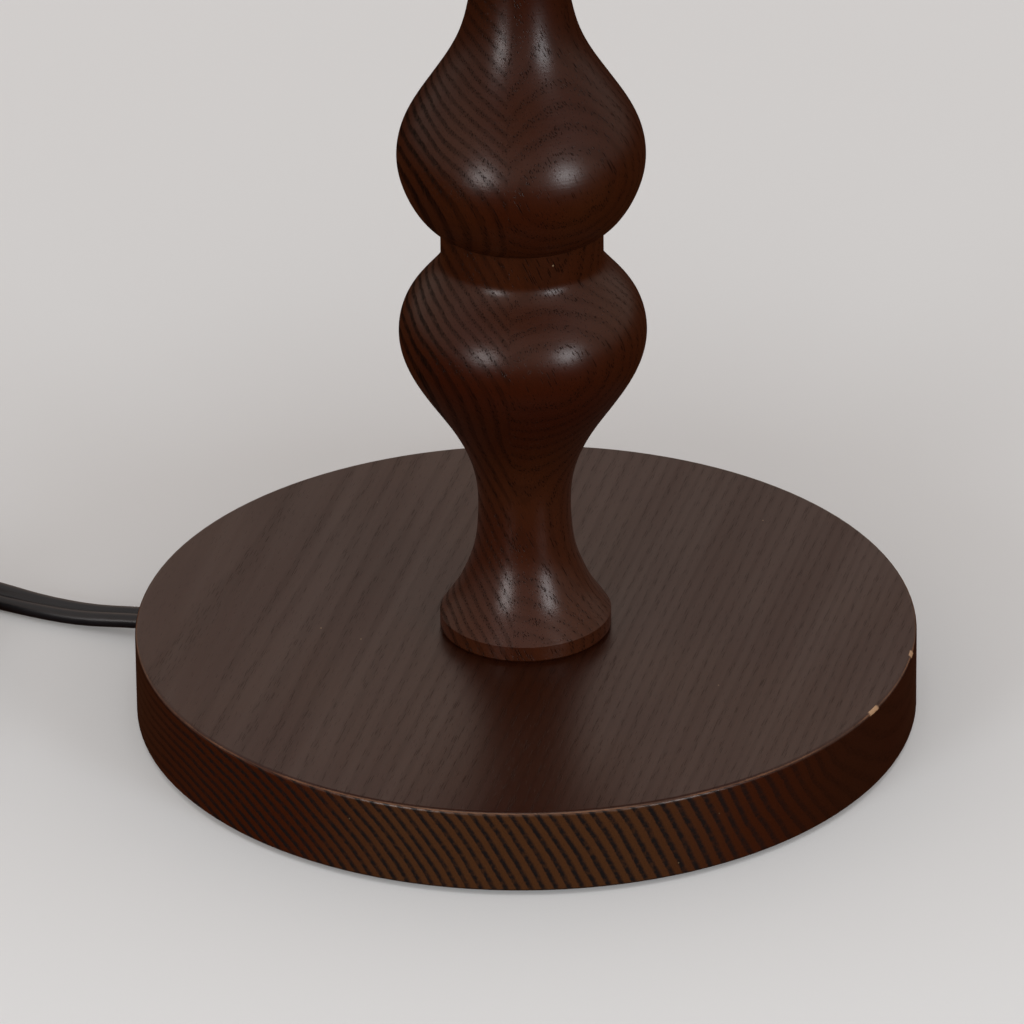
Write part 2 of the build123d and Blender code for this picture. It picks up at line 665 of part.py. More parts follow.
# ---------------------------------------------------------------- export
def sub_parts():
    washer_low = COUNTERBORE_TOP - WASHER_THICK
    bushing_y = -SHELL_R - 4.5
    return {
        "base_disc": base_disc(),
        "base_felt": bar(BASE_R - FELT_INSET, 0, FELT_THICK),
        "weight_plate": weight_plate(),
        "weight_screws": weight_screws(),
        "base_washer": tube(14.0, PIPE_R + 0.2, washer_low, COUNTERBORE_TOP),
        "base_nut": base_nut(),
        "threaded_pipe": tube(PIPE_R, PIPE_BORE_R, PIPE_BOTTOM, PIPE_TOP),
        "stem_lower": stem_lower(),
        "stem_upper": stem_upper(),
        "vase_cap": vase_cap(),
        "harp_saddle": harp_saddle(),
        "harp": harp(),
        "harp_sleeve_left": harp_sleeve(-1),
        "harp_sleeve_right": harp_sleeve(1),
        "finial": finial(),
        "socket_cap": socket_cap(),
        "socket_set_screw": rod_y(1.5, 5.2, 8.6, z=SOCKET_FOOT_Z + 2.6),
        "socket_shell": socket_shell(),
        "socket_sleeve": socket_sleeve(),
        "socket_core": socket_core(),
        "screw_shell": screw_shell(),
        "centre_contact": bar(2.6, SHELL_BOTTOM + 18, BULB_BOTTOM - 0.1),
        "terminal_screws": terminal_screws(),
        "socket_leads": socket_leads(),
        "switch_bushing": rod_y(3.2, -SHELL_R + 0.4, bushing_y, z=SWITCH_Z)
        - rod_y(1.65, -SHELL_R + 2, bushing_y - 1, z=SWITCH_Z),
        "switch_shaft": rod_y(1.6, -6.5, -SHELL_R - 23, z=SWITCH_Z),
        "switch_knob": switch_knob(),
        "bulb_glass": bulb_glass(),
        "bulb_base": bulb_base(),
        "bulb_contact": bulb_contact(),
        "shade_liner": cone_band(-LINER_THICK, 0, SHADE_BOTTOM_Z, SHADE_TOP_Z),
        "shade_fabric": cone_band(0, FABRIC_THICK, SHADE_BOTTOM_Z, SHADE_TOP_Z),
        "shade_spider": shade_spider(),
        "shade_ring_top": shade_ring_top(),
        "shade_ring_bottom": shade_ring_bottom(),
        "shade_trim_bottom": shade_trim(SHADE_BOTTOM_Z, SHADE_BOTTOM_Z + TRIM_HIGH),
        "shade_trim_top": shade_trim(SHADE_TOP_Z - TRIM_HIGH, SHADE_TOP_Z),
        "cord_inner": cord_inner(),
        "cord_bushing": cord_bushing(),
        "cord_lead": cord_tube("cord_lead", LEAD_ROUTE),
        "cord_coil": cord_coil(),
        "coil_ties": coil_ties(),
        "cord_tail": cord_tube("cord_tail", TAIL_ROUTE),
        "plug_body": plug_body(),
        "plug_blades": plug_blades(),
    }


os.makedirs("parts", exist_ok=True)
for node, solid in sub_parts().items():
    export_step(solid, "parts/" + node + ".step")
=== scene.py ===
"""Looks of the turned wooden table lamp: stained ash, brass, a linen shade and its flat cord.

Metres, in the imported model's frame: the lamp stands on z = 0 with its axis on +Z and its cord
leaves the back of the base along +Y. Sizes given in millimetres are multiplied by MM.
"""
import math

import bpy
from mathutils import Matrix, Vector


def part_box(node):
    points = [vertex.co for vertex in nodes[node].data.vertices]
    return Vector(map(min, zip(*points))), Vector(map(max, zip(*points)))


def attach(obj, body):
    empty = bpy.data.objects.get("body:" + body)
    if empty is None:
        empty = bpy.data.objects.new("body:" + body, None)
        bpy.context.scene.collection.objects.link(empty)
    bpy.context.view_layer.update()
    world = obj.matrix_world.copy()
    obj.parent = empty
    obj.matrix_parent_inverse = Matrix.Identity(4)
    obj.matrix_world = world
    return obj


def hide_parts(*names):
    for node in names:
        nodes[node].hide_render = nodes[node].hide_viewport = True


MM = 0.001
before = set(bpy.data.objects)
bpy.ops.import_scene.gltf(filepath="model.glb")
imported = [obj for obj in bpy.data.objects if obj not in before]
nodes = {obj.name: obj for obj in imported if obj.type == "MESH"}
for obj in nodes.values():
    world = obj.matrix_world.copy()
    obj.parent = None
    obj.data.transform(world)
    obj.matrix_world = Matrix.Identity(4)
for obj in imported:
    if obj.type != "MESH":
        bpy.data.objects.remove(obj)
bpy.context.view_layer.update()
scene = bpy.context.scene

# ---------------------------------------------------------------- places read from the frame
BASE_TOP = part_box("base_disc")[1].z


# ---------------------------------------------------------------- small helpers
def new_object(name, mesh):
    piece = bpy.data.objects.new(name, mesh)
    scene.collection.objects.link(piece)
    return piece


def mesh_piece(name, points, faces, smooth=True):
    mesh = bpy.data.meshes.new(name)
    mesh.from_pydata([tuple(point) for point in points], [], faces)
    mesh.update()
    for polygon in mesh.polygons:
        polygon.use_smooth = smooth
    return new_object(name, mesh)


def grid_faces(rows, columns, wrap_rows=False, wrap_columns=False):
    """Quads of a grid whose point (row, column) has the index row * columns + column."""
    faces = []
    for row in range(rows if wrap_rows else rows - 1):
        next_row = (row + 1) % rows
        for column in range(columns if wrap_columns else columns - 1):
            next_column = (column + 1) % columns
            faces.append((row * columns + column, row * columns + next_column,
                          next_row * columns + next_column, next_row * columns + column))
    return faces


def smooth_step(start, end, value):
    share = min(1.0, max(0.0, (value - start) / (end - start)))
    return share * share * (3 - 2 * share)


# ---------------------------------------------------------------- camera
CAMERA_DISTANCE = 2.7
CAMERA_AZIMUTH = -67.75
CAMERA_ELEVATION = 28.2
LOOK_AZIMUTH = -67.68
LOOK_ELEVATION = 27.655
CAMERA_ROLL = -0.608
LENS = 412.2


def back_vector(azimuth, elevation):
    a = math.radians(azimuth)
    e = math.radians(elevation)
    return Vector((math.sin(a) * math.cos(e), -math.cos(a) * math.cos(e), math.sin(e)))


def add_camera():
    data = bpy.data.cameras.new("camera")
    data.lens = LENS
    data.sensor_width = 36.0
    data.clip_start = 0.05
    data.clip_end = 200.0
    camera = bpy.data.objects.new("camera", data)
    scene.collection.objects.link(camera)
    forward = -back_vector(LOOK_AZIMUTH, LOOK_ELEVATION)
    right = forward.cross(Vector((0, 0, 1))).normalized()
    up = right.cross(forward)
    roll = math.radians(CAMERA_ROLL)
    rolled_right = math.cos(roll) * right + math.sin(roll) * up
    rolled_up = math.cos(roll) * up - math.sin(roll) * right
    turn = Matrix((rolled_right, rolled_up, -forward)).transposed().to_4x4()
    target = Vector((0, 0, BASE_TOP))
    place = target + CAMERA_DISTANCE * back_vector(CAMERA_AZIMUTH, CAMERA_ELEVATION)
    camera.matrix_world = Matrix.Translation(place) @ turn
    scene.camera = camera


add_camera()

# ---------------------------------------------------------------- the free cord
CORD_WIDE = 7.0 * MM
LOBE_R = CORD_WIDE / 4
GROOVE = 0.85 * MM                       # half the cord's thickness at its web
COIL_CENTRE = (-0.0435, 0.176)
LEAD_ROUTE = [
    (0.0, 0.0910, 0.0046),
    (-0.0003, 0.1000, 0.0036),
    (-0.0010, 0.1105, 0.0024),
    (-0.0008, 0.1220, 0.0022),
    (0.0006, 0.1340, 0.0023),
    (0.0017, 0.1470, 0.0029),
    (0.0012, 0.1600, 0.0037),
]
TAIL_ROUTE = [
    (-0.0622, 0.2190, 0.0066),
    (-0.0775, 0.2110, 0.0042),
    (-0.0912, 0.1990, 0.0028),
    (-0.1002, 0.1870, 0.0036),
    (-0.1033, 0.1765, 0.0065),
    (-0.1035, 0.1680, 0.0075),
]
COIL_START_ANGLE = -5.0
COIL_LOW_Z = 4.15 * MM
COIL_HIGH_Z = 11.35 * MM
COIL_OUTER = 44.5 * MM
COIL_INNER = 29.0 * MM
LOW_TURNS = 3.42
CLIMB_TURNS = 0.30
HIGH_TURNS = 3.54
STEPS_PER_TURN = 20


def coil_points():
    """Turns of the coil: inwards on the lower layer, a climb, and outwards on the upper layer."""
    total = LOW_TURNS + CLIMB_TURNS + HIGH_TURNS
    count = round(total * STEPS_PER_TURN)
    points = []
    for step in range(count + 1):
        turn = total * step / count
        low_share = min(1.0, turn / LOW_TURNS)
        high_share = max(0.0, (turn - LOW_TURNS - CLIMB_TURNS) / HIGH_TURNS)
        radius = COIL_OUTER + (COIL_INNER - COIL_OUTER) * (low_share - high_share)
        radius += 0.12 * MM * math.sin(5.3 * turn) * (1 - high_share)
        climb = smooth_step(LOW_TURNS - 0.03, LOW_TURNS + CLIMB_TURNS + 0.03, turn)
        height = COIL_LOW_Z + (COIL_HIGH_Z - COIL_LOW_Z) * climb
        angle = math.radians(COIL_START_ANGLE + 360 * turn)
        points.append((COIL_CENTRE[0] + radius * math.cos(angle),
                       COIL_CENTRE[1] + radius * math.sin(angle), height))
    return points


def nurbs_line(name, route, detail):
    """Points along the smooth line that a route's NURBS spline follows."""
    data = bpy.data.curves.new(name, "CURVE")
    data.dimensions = "3D"
    spline = data.splines.new("NURBS")
    spline.points.add(len(route) - 1)
    for point, place in zip(spline.points, route):
        point.co = (*place, 1.0)
    spline.order_u = 3
    spline.use_endpoint_u = True
    spline.resolution_u = detail
    line = new_object(name, data)
    bpy.context.view_layer.update()
    mesh = bpy.data.meshes.new_from_object(line)
    points = [vertex.co.copy() for vertex in mesh.vertices]
    bpy.data.objects.remove(line)
    bpy.data.meshes.remove(mesh)
    return points


def lengths_along(points):
    total = [0.0]
    for before, here in zip(points, points[1:]):
        total.append(total[-1] + (here - before).length)
    return total


def cord_outline(steps):
    """Section of the flat twin cord: two round lobes with a groove on each side."""
    outline = []
    for step in range(steps):
        angle = 2 * math.pi * (step + 0.5) / steps
        side = 1 if math.cos(angle) > 0 else -1
        reach = math.acos(max(-1.0, min(1.0, (GROOVE / LOBE_R)))) + math.pi / 2
        local = math.atan2(math.sin(angle), abs(math.cos(angle))) * reach / (math.pi / 2)
        across = side * (LOBE_R + LOBE_R * math.cos(local))
        through = LOBE_R * math.sin(local)
        if abs(across) < LOBE_R * 0.42:
            through = math.copysign(GROOVE + (abs(across) / (LOBE_R * 0.42)) ** 2 * 0.2 * MM, through)
        outline.append((across, through))
    return outline


def flat_sweep(name, points, rolls, outline):
    """Mesh of a section swept along a line, turned about it by an angle at each point."""
    rings = []
    for index, point in enumerate(points):
        ahead = points[min(index + 1, len(points) - 1)]
        behind = points[max(index - 1, 0)]
        tangent = (ahead - behind).normalized()
        right = tangent.cross(Vector((0, 0, 1))).normalized()
        up = right.cross(tangent)
        wide = math.cos(rolls[index]) * right + math.sin(rolls[index]) * up
        thin = math.cos(rolls[index]) * up - math.sin(rolls[index]) * right
        rings.extend(point + across * wide + through * thin for across, through in outline)
    columns = len(outline)
    faces = grid_faces(len(points), columns, wrap_columns=True)
    faces.append(tuple(range(columns))[::-1])
    last = (len(points) - 1) * columns
    faces.append(tuple(range(last, last + columns)))
    return mesh_piece(name, rings, faces)


def cord_roll(along, total):
    """Roll of the cord in degrees: flat at both ends, on edge in the coil."""
    rise = 8 * smooth_step(0.012, 0.03, along) + 14 * smooth_step(0.028, 0.045, along)
    rise += 68 * smooth_step(0.045, 0.095, along)
    fall = smooth_step(total - 0.075, total - 0.018, along)
    return math.radians(rise * (1 - fall))


def add_cord():
    route = LEAD_ROUTE + coil_points() + TAIL_ROUTE
    points = nurbs_line("cord_line", route, 3)
    along = lengths_along(points)
    rolls = [cord_roll(place, along[-1]) for place in along]
    cord = flat_sweep("mains_cord", points, rolls, cord_outline(28))
    return cord, points


mains_cord, cord_line = add_cord()
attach(mains_cord, "lamp_body")
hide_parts("cord_lead", "cord_coil", "cord_tail")

# ---------------------------------------------------------------- plug and ties
PLUG_LONG = 44.0 * MM
PLUG_SECTIONS = [
    # share of the length, width and thickness in millimetres, squareness of the section
    (0.000, 8.2, 4.8, 2.2),
    (0.012, 9.0, 5.6, 2.2),
    (0.200, 10.2, 6.8, 2.3),
    (0.440, 12.0, 8.6, 2.5),
    (0.500, 13.6, 9.6, 2.6),
    (0.560, 17.6, 11.9, 2.9),
    (0.620, 19.8, 12.9, 3.2),
    (0.720, 20.4, 13.6, 3.4),
    (0.820, 21.3, 14.3, 3.6),
    (0.900, 23.6, 14.7, 3.8),
    (0.960, 24.8, 14.8, 3.8),
    (0.985, 24.9, 14.7, 3.8),
    (1.000, 24.0, 13.8, 3.8),
]
RELIEF_RIBS = 6


def between(table, share):
    """Values of a table at a share between its rows."""
    for before, after in zip(table, table[1:]):
        if share <= after[0]:
            part = smooth_step(before[0], after[0], share)
            return [low + part * (high - low) for low, high in zip(before[1:], after[1:])]
    return list(table[-1][1:])


def add_plug():
    """Moulded plug: a ribbed strain relief that widens into a waisted grip with a soft-edged face."""
    neck_low, neck_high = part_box("plug_body")
    centre_x = (neck_low.x + neck_high.x) / 2
    centre_z = (neck_low.z + neck_high.z) / 2
    rows = 120
    columns = 72
    points = []
    for row in range(rows):
        share = row / (rows - 1)
        wide, thick, square = between(PLUG_SECTIONS, share)
        rib = 0.0
        if 0.04 < share < 0.44:
            rib = -0.55 * max(0.0, math.sin((share - 0.04) / 0.40 * RELIEF_RIBS * 2 * math.pi)) ** 0.6
        grip = 0.0
        if 0.64 < share < 0.86:
            grip = -0.35 * max(0.0, math.sin((share - 0.64) / 0.22 * 5 * 2 * math.pi)) ** 0.8
        for column in range(columns):
            angle = 2 * math.pi * column / columns
            c = math.cos(angle)
            s = math.sin(angle)
            sides = abs(c) ** 3
            x = math.copysign(abs(c) ** (2 / square), c) * (wide / 2 + rib + grip * sides)
            z = math.copysign(abs(s) ** (2 / square), s) * (thick / 2 + rib)
            points.append((centre_x + x * MM, neck_high.y - share * PLUG_LONG, centre_z + z * MM))
    faces = grid_faces(rows, columns, wrap_columns=True)
    faces.append(tuple(range(columns)))
    last = (rows - 1) * columns
    faces.append(tuple(range(last, last + columns))[::-1])
    return mesh_piece("moulded_plug", points, faces)


# sections in millimetres, across and through the tie
TIE_SECTION = [(-2.1, 0.0), (-1.9, 0.32), (-0.6, 0.32), (0.0, 0.62), (0.6, 0.32), (1.9, 0.32), (2.1, 0.0),
               (0.0, -0.12)]
TWIST_SECTION = [(-0.95, 0.0), (-0.5, 0.3), (0.5, 0.3), (0.95, 0.0), (0.5, -0.3), (-0.5, -0.3)]
TIE_ANGLES = {"back": 75.0, "front": 250.0}


def add_tie(name, angle):
    """A flat tie with a wire in its middle, pressed round the coil's strand."""
    strand = (COIL_OUTER + COIL_INNER) / 2
    half_wide = (COIL_OUTER - COIL_INNER) / 2 + 2.45 * MM
    low = 0.7 * MM
    high = 15.2 * MM
    centre_z = (low + high) / 2
    half_high = (high - low) / 2
    rows = 96
    turn = math.radians(angle)
    out = Vector((math.cos(turn), math.sin(turn), 0.0))
    side = Vector((-math.sin(turn), math.cos(turn), 0.0))
    middle = Vector((*COIL_CENTRE, centre_z)) + strand * out
    points = []
    for row in range(rows):
        a = 2 * math.pi * row / rows
        c = math.cos(a)
        s = math.sin(a)
        x = math.copysign(abs(c) ** 0.42, c) * half_wide
        z = math.copysign(abs(s) ** 0.42, s) * half_high
        normal = (c / half_wide * out + Vector((0, 0, s / half_high))).normalized()
        sway = 0.25 * MM * math.sin(3 * a + angle)
        for across, through in TIE_SECTION:
            points.append(middle + x * out + Vector((0, 0, z)) + (across * MM + sway) * side
                          + through * MM * normal)
    return mesh_piece(name, points, grid_faces(rows, len(TIE_SECTION), wrap_rows=True, wrap_columns=True))


def add_twist(name, angle):
    """The twisted ends of a tie, lying along the top of the coil."""
    turn = math.radians(angle)
    out = Vector((math.cos(turn), math.sin(turn), 0.0))
    side = Vector((-math.sin(turn), math.cos(turn), 0.0))
    start = Vector((*COIL_CENTRE, 15.6 * MM)) + (COIL_OUTER + COIL_INNER) / 2 * out
    rows = 60
    points = []
    for row in range(rows):
        share = row / (rows - 1)
        centre = start + 13 * MM * share * side + 3.0 * MM * math.sin(2.2 * share) * out
        centre.z += (1.0 - 0.9 * share) * MM
        wind = 10 * math.pi * share
        wide = math.cos(wind) * out + math.sin(wind) * Vector((0, 0, 1))
        thin = math.cos(wind) * Vector((0, 0, 1)) - math.sin(wind) * out
        for across, through in TWIST_SECTION:
            points.append(centre + across * MM * wide + through * MM * thin)
    columns = len(TWIST_SECTION)
    faces = grid_faces(rows, columns, wrap_columns=True)
    faces.append(tuple(range(columns))[::-1])
    faces.append(tuple(range((rows - 1) * columns, rows * columns)))
    return mesh_piece(name, points, faces)


moulded_plug = add_plug()
ties = [add_tie("coil_tie_" + place, angle) for place, angle in TIE_ANGLES.items()]
twists = [add_twist("tie_twist_" + place, angle) for place, angle in TIE_ANGLES.items()]
for piece in [moulded_plug] + ties + twists:
    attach(piece, "lamp_body")
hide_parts("plug_body")
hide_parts("coil_ties")

# ---------------------------------------------------------------- materials
class Tree:
    """A material's node tree, built with short calls."""

    def __init__(self, name):
        self.material = bpy.data.materials.new(name)
        self.material.use_nodes = True
        self.nodes = self.material.node_tree.nodes
        self.links = self.material.node_tree.links
        self.shader = self.nodes["Principled BSDF"]

    def plug(self, value, socket):
        if isinstance(value, bpy.types.NodeSocket):
            self.links.new(value, socket)
        else:
            socket.default_value = value

    def node(self, kind, inputs=None, **settings):
        made = self.nodes.new("ShaderNode" + kind)
        for name, value in settings.items():
            setattr(made, name, value)
        for socket, value in (inputs or {}).items():
            self.plug(value, made.inputs[socket])
        return made

    def math(self, operation, *values, clamp=False):
        made = self.node("Math", operation=operation, use_clamp=clamp)
        for socket, value in zip(made.inputs, values):
            self.plug(value, socket)
        return made.outputs[0]

    def times(self, first, second):
        return self.math("MULTIPLY", first, second)

    def plus(self, first, second):
        return self.math("ADD", first, second)

    def minus(self, first, second):
        return self.math("SUBTRACT", first, second)

    def times_plus(self, first, second, added):
        return self.math("MULTIPLY_ADD", first, second, added)

    def vector(self, operation, *values, output="Vector"):
        made = self.node("VectorMath", operation=operation)
        for socket, value in zip(made.inputs, values):
            self.plug(value, socket)
        return made.outputs[output]

    def dot(self, place, direction):
        return self.vector("DOT_PRODUCT", place, tuple(direction), output="Value")

    def place_mm(self):
        """The surface's place in the lamp's own frame, in millimetres."""
        source = self.node("TexCoord").outputs["Object"]
        return self.vector("MULTIPLY", source, (1000.0, 1000.0, 1000.0))

    def parts_of(self, place):
        return self.node("SeparateXYZ", {0: place}).outputs

    def joined(self, x, y, z):
        return self.node("CombineXYZ", {0: x, 1: y, 2: z}).outputs[0]

    def noise(self, place, scale, detail=2.0, roughness=0.5):
        inputs = {"Vector": place, "Scale": scale, "Detail": detail, "Roughness": roughness}
        return self.node("TexNoise", inputs).outputs["Fac"]

    def cells(self, place, scale, feature="F1", output="Distance"):
        made = self.node("TexVoronoi", {"Vector": place, "Scale": scale}, feature=feature)
        return made.outputs[output]

    def step(self, value, low, high, to_low=0.0, to_high=1.0):
        """Smooth rise from to_low to to_high as value goes from low to high."""
        made = self.node("MapRange", {"Value": value}, interpolation_type="SMOOTHSTEP")
        for name, limit in (("From Min", low), ("From Max", high), ("To Min", to_low), ("To Max", to_high)):
            self.plug(limit, made.inputs[name])
        return made.outputs["Result"]

    def mix(self, share, first, second):
        made = self.node("Mix", data_type="RGBA")
        self.plug(share, made.inputs[0])
        for socket, colour in ((made.inputs[6], first), (made.inputs[7], second)):
            self.plug((*colour, 1.0) if isinstance(colour, tuple) and len(colour) == 3 else colour, socket)
        return made.outputs[2]

    def blend(self, share, first, second):
        """Number between first and second."""
        return self.plus(self.times(share, second), self.times(self.minus(1.0, share), first))

    def bump(self, height, distance, strength=1.0):
        made = self.node("Bump", {"Height": height, "Strength": strength, "Distance": distance})
        return made.outputs["Normal"]

    def finish(self, colour, roughness, normal=None, **constants):
        self.plug((*colour, 1.0) if isinstance(colour, tuple) else colour, self.shader.inputs["Base Color"])
        self.plug(roughness, self.shader.inputs["Roughness"])
        if normal is not None:
            self.plug(normal, self.shader.inputs["Normal"])
        for name, value in constants.items():
            self.plug(value, self.shader.inputs[name.replace("_", " ")])
        return self.material


def paint(piece, material):
    """The material on every slot of a piece or CAD node."""
    mesh = piece.data
    if not mesh.materials:
        mesh.materials.append(material)
    for index in range(len(mesh.materials)):
        mesh.materials[index] = material


def ring_radius(tree, place, fibre, pith):
    """Distance from the board's pith line, which runs along the fibre direction."""
    from_pith = tree.vector("SUBTRACT", place, tuple(pith))
    along = tree.vector("SCALE", tuple(fibre))
    along.node.inputs["Scale"].default_value = 1.0
    tree.plug(tree.dot(from_pith, fibre), along.node.inputs["Scale"])
    return tree.vector("LENGTH", tree.vector("SUBTRACT", from_pith, along), output="Value")


def stained_ash(name, fibre, piths, seam=None, spacing=2.15, wander=8.0, contrasts=(0.3, 0.3),
                late=(0.055, 0.014, 0.004), early=(0.012, 0.0045, 0.0025), red=(0.046, 0.008, 0.002),
                end_tones=None, limb=None, ribs=0.15, turned=0.0, gloss=0.8, open_pores=1.0, rim=None):
    """Dark stained ash. Each growth ring has an open-pored dark band and a dense lighter one.

    fibre is the grain's direction and piths a point on each board's pith line, in millimetres.
    contrasts are the strengths of each board's rings. seam is the glue line between two boards: its
    normal and its distance from the lamp's axis. limb is a direction and two distances along it,
    between which the first board's rings deepen. end_tones colour the end grain: two dense tones and
    the open grain's. ribs and turned are the depths of the rings and of the lathe's marks.
    """
    tree = Tree(name)
    place = tree.place_mm()
    fibre = Vector(fibre).normalized()
    radius = ring_radius(tree, place, fibre, piths[0])
    contrast = contrasts[0]
    if limb:
        contrast = tree.step(tree.dot(place, limb[0]), limb[1], limb[2], contrasts[0], 1.0)
    if seam:
        beyond = tree.step(tree.dot(place, seam[0]), seam[1] - 1.2, seam[1] + 1.2)
        contrast = tree.blend(beyond, contrast, contrasts[1])
        beyond = tree.step(tree.dot(place, seam[0]), seam[1] - 0.05, seam[1] + 0.05)
        radius = tree.blend(beyond, radius, ring_radius(tree, place, fibre, piths[1]))
    along = tree.dot(place, fibre)
    squeeze = tree.vector("SCALE", tuple(fibre))
    tree.plug(tree.times(along, -0.93), squeeze.node.inputs["Scale"])
    drawn = tree.vector("ADD", place, squeeze)

    drift = tree.noise(drawn, 0.035, 2.0, 0.55)
    wobble = tree.noise(drawn, 0.28, 2.0, 0.5)
    if end_tones:
        facing = tree.dot(tree.node("TexCoord").outputs["Normal"], fibre)
        end_grain = tree.step(tree.math("ABSOLUTE", facing), 0.3, 0.85)
        straight = tree.times_plus(end_grain, -0.8, 1.0)
        wobble = tree.times(wobble, straight)
        drift = tree.times(drift, straight)
    shifted = tree.plus(radius, tree.times(drift, wander))
    shifted = tree.plus(shifted, tree.times(wobble, 0.7))
    phase = tree.math("FRACT", tree.math("DIVIDE", shifted, spacing))
    frayed = tree.times(tree.minus(tree.noise(drawn, 2.4), 0.5), 0.22)
    ragged = tree.plus(phase, frayed)
    early_band = tree.times(tree.step(ragged, 0.02, 0.16), tree.step(ragged, 0.34, 0.66, 1.0, 0.0))

    crowd = tree.times_plus(early_band, 0.15, 0.22)
    pores = tree.step(tree.cells(drawn, 2.5), tree.minus(crowd, 0.1), crowd, open_pores, 0.0)
    fibres = tree.noise(drawn, 5.5, 3.0, 0.6)
    fleck = tree.noise(drawn, 0.9, 2.0, 0.5)

    patch = tree.noise(place, 0.022, 2.0, 0.5)
    warm = tree.mix(tree.step(patch, 0.38, 0.66), late, red)
    open_grain = early
    if end_tones:
        golden, russet, dark = end_tones
        across = tree.parts_of(place)[1]
        strip = tree.times(tree.step(across, -80.0, -52.0), tree.step(across, -8.0, 25.0, 1.0, 0.0))
        warm = tree.mix(end_grain, warm, tree.mix(strip, russet, golden))
        open_grain = tree.mix(end_grain, early, dark)
        contrast = tree.blend(end_grain, contrast, 1.0)
    shaded = tuple(0.45 * channel for channel in late)
    dense = tree.mix(tree.times(tree.step(fibres, 0.3, 0.75), 0.5), warm, shaded)
    banding = tree.times(early_band, tree.step(fleck, 0.2, 0.6, 0.45, 1.0))
    banding = tree.times(banding, contrast)
    board = tree.noise(drawn, 0.11, 3.0, 0.6)
    banded = tree.mix(banding, dense, open_grain)
    colour = tree.mix(tree.times(pores, 0.85), banded, (0.003, 0.0022, 0.0019))

    height = tree.times(pores, -1.0)
    height = tree.times_plus(banding, -ribs, height)
    height = tree.times_plus(fibres, 0.3, height)
    if turned:
        level = tree.parts_of(place)[2]
        marks = tree.noise(tree.joined(0.0, 0.0, level), 1.3, 3.0, 0.6)
        height = tree.times_plus(marks, turned, height)
    sheen = tree.times(tree.times_plus(banding, -0.62, 1.0), gloss)
    sheen = tree.times(sheen, tree.step(board, 0.3, 0.7, 0.86, 1.04))
    sheen = tree.times(sheen, tree.times_plus(pores, -0.85, 1.0))
    roughness = tree.times_plus(early_band, 0.2, 0.45)
    if rim:
        colour, sheen = rim_wear_and_highlight(tree, place, rim, colour, sheen)
    specks = tree.step(tree.cells(place, 0.075), 0.012, 0.02, 0.8, 0.0)
    colour = tree.mix(specks, colour, (0.32, 0.24, 0.15))
    normal = tree.bump(height, 0.00006, 0.6)
    return tree.finish(colour, roughness, normal, Specular_IOR_Level=0.0, Coat_Weight=sheen,
                       Coat_Roughness=0.3, Coat_IOR=1.5, Coat_Normal=normal)


def rim_wear_and_highlight(tree, place, rim, colour, sheen):
    """A thin pale line along a turned edge, broken in places: partly stain rubbed through, partly a painted
    highlight where the edge catches the light. rim is its radius and height.
    """
    x, y, z = tree.parts_of(place)
    flat = tree.joined(x, y, 0.0)
    out = tree.minus(tree.vector("LENGTH", flat, output="Value"), rim[0])
    up = tree.minus(z, rim[1])
    away = tree.vector("LENGTH", tree.joined(out, up, 0.0), output="Value")
    ragged = tree.plus(away, tree.times(tree.noise(place, 1.1, 3.0, 0.6), -0.4))
    worn = tree.step(tree.noise(flat, 0.05, 2.0, 0.6), 0.36, 0.62, 0.1, 0.7)
    line = tree.times(tree.step(ragged, -0.14, 0.04, 1.0, 0.0), worn)
    chip = tree.times(tree.step(tree.noise(flat, 0.16, 2.0, 0.7), 0.7, 0.72),
                     tree.step(ragged, 0.1, 0.25, 1.0, 0.0))
    for centre, reach in CHIPS:
        near = tree.vector("LENGTH", tree.vector("SUBTRACT", flat, (*centre, 0.0)), output="Value")
        knock = tree.times(tree.step(near, reach * 0.6, reach, 1.0, 0.0),
                          tree.step(ragged, 0.25, 0.45, 1.0, 0.0))
        chip = tree.math("MAXIMUM", chip, knock)
    # pale rim line: partly rubbed-through stain, partly a painted highlight of the edge; the chips are real
    # knocks
    colour = tree.mix(line, colour, (0.22, 0.11, 0.06))
    colour = tree.mix(chip, colour, (0.45, 0.29, 0.17))
    sheen = tree.times(sheen, tree.times_plus(line, -0.6, 1.0))
    return colour, sheen


CHIPS = (((-9.9, -89.6), 2.6), ((18.5, -87.8), 1.6))    # knocks on the rim: place and reach
TO_RIGHT = (0.379, -0.926, 0.0)                         # level, to the right as the camera sees it
BASE_RIM = (89.7, 20.7)
BASE_FIBRE = (0.990, 0.139, 0.0)
BASE_PITH = (-10.8, 77.2, -42.0)
STEM_FIBRE = (-0.204, 0.401, 1.0)
STEM_PITHS = ((29.5, -58.0, 60.0), (73.7, 29.4, 60.0))
base_ash = stained_ash("base_ash", BASE_FIBRE, [BASE_PITH], contrasts=(0.17, 0.17), rim=BASE_RIM,
                       ribs=0.02, open_pores=0.3, gloss=0.95, wander=9.0, spacing=2.5,
                       late=(0.032, 0.0085, 0.003), early=(0.010, 0.004, 0.0022), red=(0.027, 0.005, 0.0018),
                       end_tones=((0.088, 0.036, 0.013), (0.060, 0.012, 0.0025), (0.011, 0.0095, 0.0100)))
stem_ash = stained_ash("stem_ash", STEM_FIBRE, STEM_PITHS, contrasts=(0.42, 0.2), wander=4.0,
                       seam=(TO_RIGHT, -3.0), limb=(TO_RIGHT, -12.0, -24.0),
                       turned=0.5, gloss=0.75, open_pores=0.75)
paint(nodes["base_disc"], base_ash)
paint(nodes["stem_lower"], stem_ash)
paint(nodes["stem_upper"], stem_ash)


